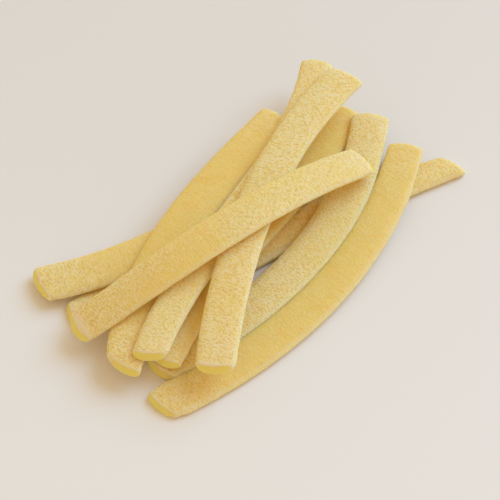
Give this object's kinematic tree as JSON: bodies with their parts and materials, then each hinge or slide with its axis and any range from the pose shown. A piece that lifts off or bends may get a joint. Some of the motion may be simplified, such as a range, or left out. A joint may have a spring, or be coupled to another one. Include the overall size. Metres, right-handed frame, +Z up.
{
  "type": "heap of dry pasta ribbons",
  "caption": "Small loose heap of short, broad, flat dry pasta ribbons lying crossed on each other, with gently bowed strips and plainly cut ends.",
  "frame": {"origin": "plan centre of the heap, on the surface it lies on", "axes": "+Z up, +Y from the front of the heap to its back, +X to the right as seen from the front"},
  "size_m": [0.104, 0.0946, 0.0176],
  "materials": {
    "dry_pasta": "dry, floury and matt, with fine rough pits"
  },
  "bodies": {
    "root": {"ribbon_crossing_top": "dry_pasta", "ribbon_steep_top": "dry_pasta", "ribbon_far_tip": "dry_pasta", "ribbon_back_left": "dry_pasta", "ribbon_left_tip": "dry_pasta", "ribbon_left_low": "dry_pasta", "ribbon_slope_low": "dry_pasta", "ribbon_outer_mid": "dry_pasta", "ribbon_outer_long": "dry_pasta", "ribbon_cross_low": "dry_pasta"}
  },
  "joints": []
}
